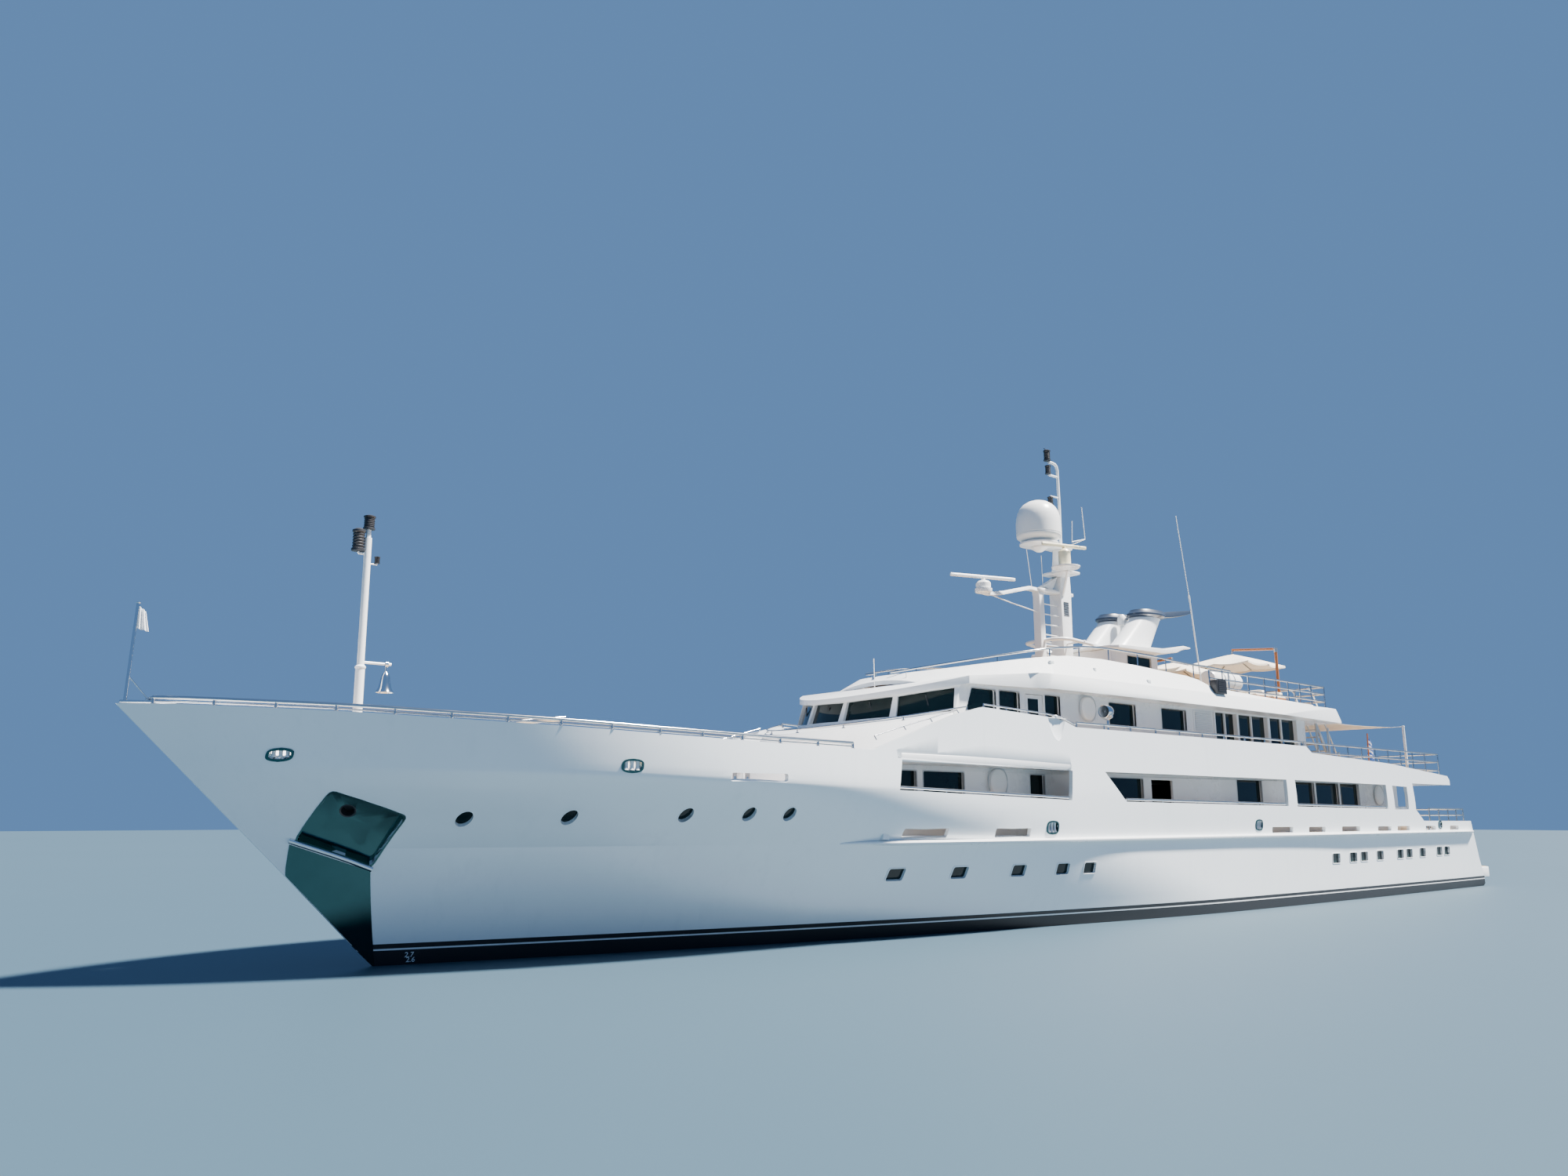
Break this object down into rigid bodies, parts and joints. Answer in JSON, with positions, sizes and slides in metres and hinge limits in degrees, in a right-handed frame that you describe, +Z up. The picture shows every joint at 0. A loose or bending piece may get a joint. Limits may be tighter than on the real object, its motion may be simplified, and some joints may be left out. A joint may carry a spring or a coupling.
{
  "type": "motor yacht, one-to-two scale model",
  "caption": "White steel motor yacht with raked bow, long superstructure, twin funnels, radar mast, turning screws, rudders, fins, doors and scanners, at half size.",
  "frame": {"origin": "amidships on the centreline, at the waterline the yacht floats at", "axes": "+X towards the bow, +Y to port, +Z up"},
  "size_m": [26.6281, 4.2454, 9.075],
  "materials": {
    "hull_paint": "gloss",
    "house_paint": "gloss",
    "tinted_glass": "polished",
    "polished_steel": "polished",
    "bottom_paint": "matte",
    "bronze": "polished",
    "navy_paint": "gloss",
    "white_plastic": "gloss",
    "cream_canvas": "matte"
  },
  "bodies": {
    "yacht": {"aft_awning": "cream_canvas", "anchor_plate_port": "polished_steel", "anchor_plate_starboard": "polished_steel", "bow_rail": "polished_steel", "bridge_front": "house_paint", "ensign": "cream_canvas", "fore_bulwark_port": "hull_paint", "fore_bulwark_starboard": "hull_paint", "foremast": "house_paint", "funnel_cap_port": "navy_paint", "funnel_cap_starboard": "navy_paint", "funnel_port": "house_paint", "funnel_starboard": "house_paint", "hardtop": "house_paint", "hull": "hull_paint", "jackstaff": "polished_steel", "liferaft_port": "white_plastic", "liferaft_starboard": "white_plastic", "main_deckhouse": "house_paint", "main_glass_port": "tinted_glass", "main_glass_starboard": "tinted_glass", "main_mast": "house_paint", "roof": "house_paint", "satellite_dome": "white_plastic", "searchlight_port": "polished_steel", "searchlight_starboard": "polished_steel", "side_screen_port": "hull_paint", "side_screen_starboard": "hull_paint", "stern_bulwark": "hull_paint", "stern_rail": "polished_steel", "sundeck_fairing": "house_paint", "sundeck_house": "house_paint", "sundeck_rail": "polished_steel", "swim_platform": "house_paint", "umbrella_aft": "cream_canvas", "umbrella_forward": "cream_canvas", "upper_bulwark_port": "hull_paint", "upper_bulwark_starboard": "hull_paint", "upper_deck": "house_paint", "upper_deckhouse": "house_paint", "upper_glass_port": "tinted_glass", "upper_glass_starboard": "tinted_glass", "upper_rail": "polished_steel", "wheelhouse_glass": "tinted_glass", "windlass": "polished_steel"},
    "screw_port": {"propeller_port": "bronze"},
    "rudder_blade_port": {"rudder_port": "bottom_paint"},
    "fin_port": {"roll_fin_port": "bottom_paint"},
    "side_leaf_port": {"side_door_port": "house_paint"},
    "wing_leaf_port": {"wing_door_port": "house_paint"},
    "screw_starboard": {"propeller_starboard": "bronze"},
    "rudder_blade_starboard": {"rudder_starboard": "bottom_paint"},
    "fin_starboard": {"roll_fin_starboard": "bottom_paint"},
    "side_leaf_starboard": {"side_door_starboard": "house_paint"},
    "wing_leaf_starboard": {"wing_door_starboard": "house_paint"},
    "scanner_forward": {"radar_forward": "white_plastic"},
    "scanner_upper": {"radar_upper": "white_plastic"},
    "bell": {"ship_bell": "polished_steel"},
    "aft_leaf": {"aft_door": "tinted_glass"},
    "saloon_leaf": {"saloon_door": "tinted_glass"}
  },
  "joints": [
    {"name": "propeller_spin_port", "type": "hinge", "parent": "yacht", "child": "screw_port", "pos_m": [-10.95, 0.875, -0.925], "axis": [0.9996, 0, 0.0291], "continuous": true},
    {"name": "rudder_turn_port", "type": "hinge", "parent": "yacht", "child": "rudder_blade_port", "pos_m": [-12.05, 0.875, -0.6], "axis": [0, 0, 1], "range_deg": [-35, 35]},
    {"name": "fin_pitch_port", "type": "hinge", "parent": "yacht", "child": "fin_port", "pos_m": [0.5, 1.65, -0.81], "axis": [0, 0.7776, -0.6288], "range_deg": [-20, 20]},
    {"name": "side_door_swing_port", "type": "hinge", "parent": "yacht", "child": "side_leaf_port", "pos_m": [-0.795, 1.525, 1.645], "axis": [0, 0, 1], "range_deg": [-60, 30]},
    {"name": "wing_door_swing_port", "type": "hinge", "parent": "yacht", "child": "wing_leaf_port", "pos_m": [2.305, 1.6, 2.73], "axis": [0, 0, 1], "range_deg": [-85, 0]},
    {"name": "propeller_spin_starboard", "type": "hinge", "parent": "yacht", "child": "screw_starboard", "pos_m": [-10.95, -0.875, -0.925], "axis": [0.9996, 0, 0.0291], "continuous": true},
    {"name": "rudder_turn_starboard", "type": "hinge", "parent": "yacht", "child": "rudder_blade_starboard", "pos_m": [-12.05, -0.875, -0.6], "axis": [0, 0, 1], "range_deg": [-35, 35]},
    {"name": "fin_pitch_starboard", "type": "hinge", "parent": "yacht", "child": "fin_starboard", "pos_m": [0.5, -1.65, -0.81], "axis": [0, -0.7776, -0.6288], "range_deg": [-20, 20]},
    {"name": "side_door_swing_starboard", "type": "hinge", "parent": "yacht", "child": "side_leaf_starboard", "pos_m": [-0.795, -1.525, 1.645], "axis": [0, 0, 1], "range_deg": [-30, 60]},
    {"name": "wing_door_swing_starboard", "type": "hinge", "parent": "yacht", "child": "wing_leaf_starboard", "pos_m": [2.305, -1.6, 2.73], "axis": [0, 0, 1], "range_deg": [0, 85]},
    {"name": "radar_forward_turn", "type": "hinge", "parent": "yacht", "child": "scanner_forward", "pos_m": [1.235, 0, 5.25], "axis": [0, 0, 1], "continuous": true},
    {"name": "radar_upper_turn", "type": "hinge", "parent": "yacht", "child": "scanner_upper", "pos_m": [-0.25, 0.51, 5.9], "axis": [0, 0, 1], "continuous": true},
    {"name": "bell_swing", "type": "hinge", "parent": "yacht", "child": "bell", "pos_m": [10.82, 0, 3.05], "axis": [1, 0, 0], "range_deg": [-30, 30]},
    {"name": "aft_door_slide", "type": "slide", "parent": "yacht", "child": "aft_leaf", "axis": [0, 1, 0], "range_m": [0, 0.8]},
    {"name": "saloon_door_slide", "type": "slide", "parent": "yacht", "child": "saloon_leaf", "axis": [0, 1, 0], "range_m": [0, 0.78]}
  ]
}
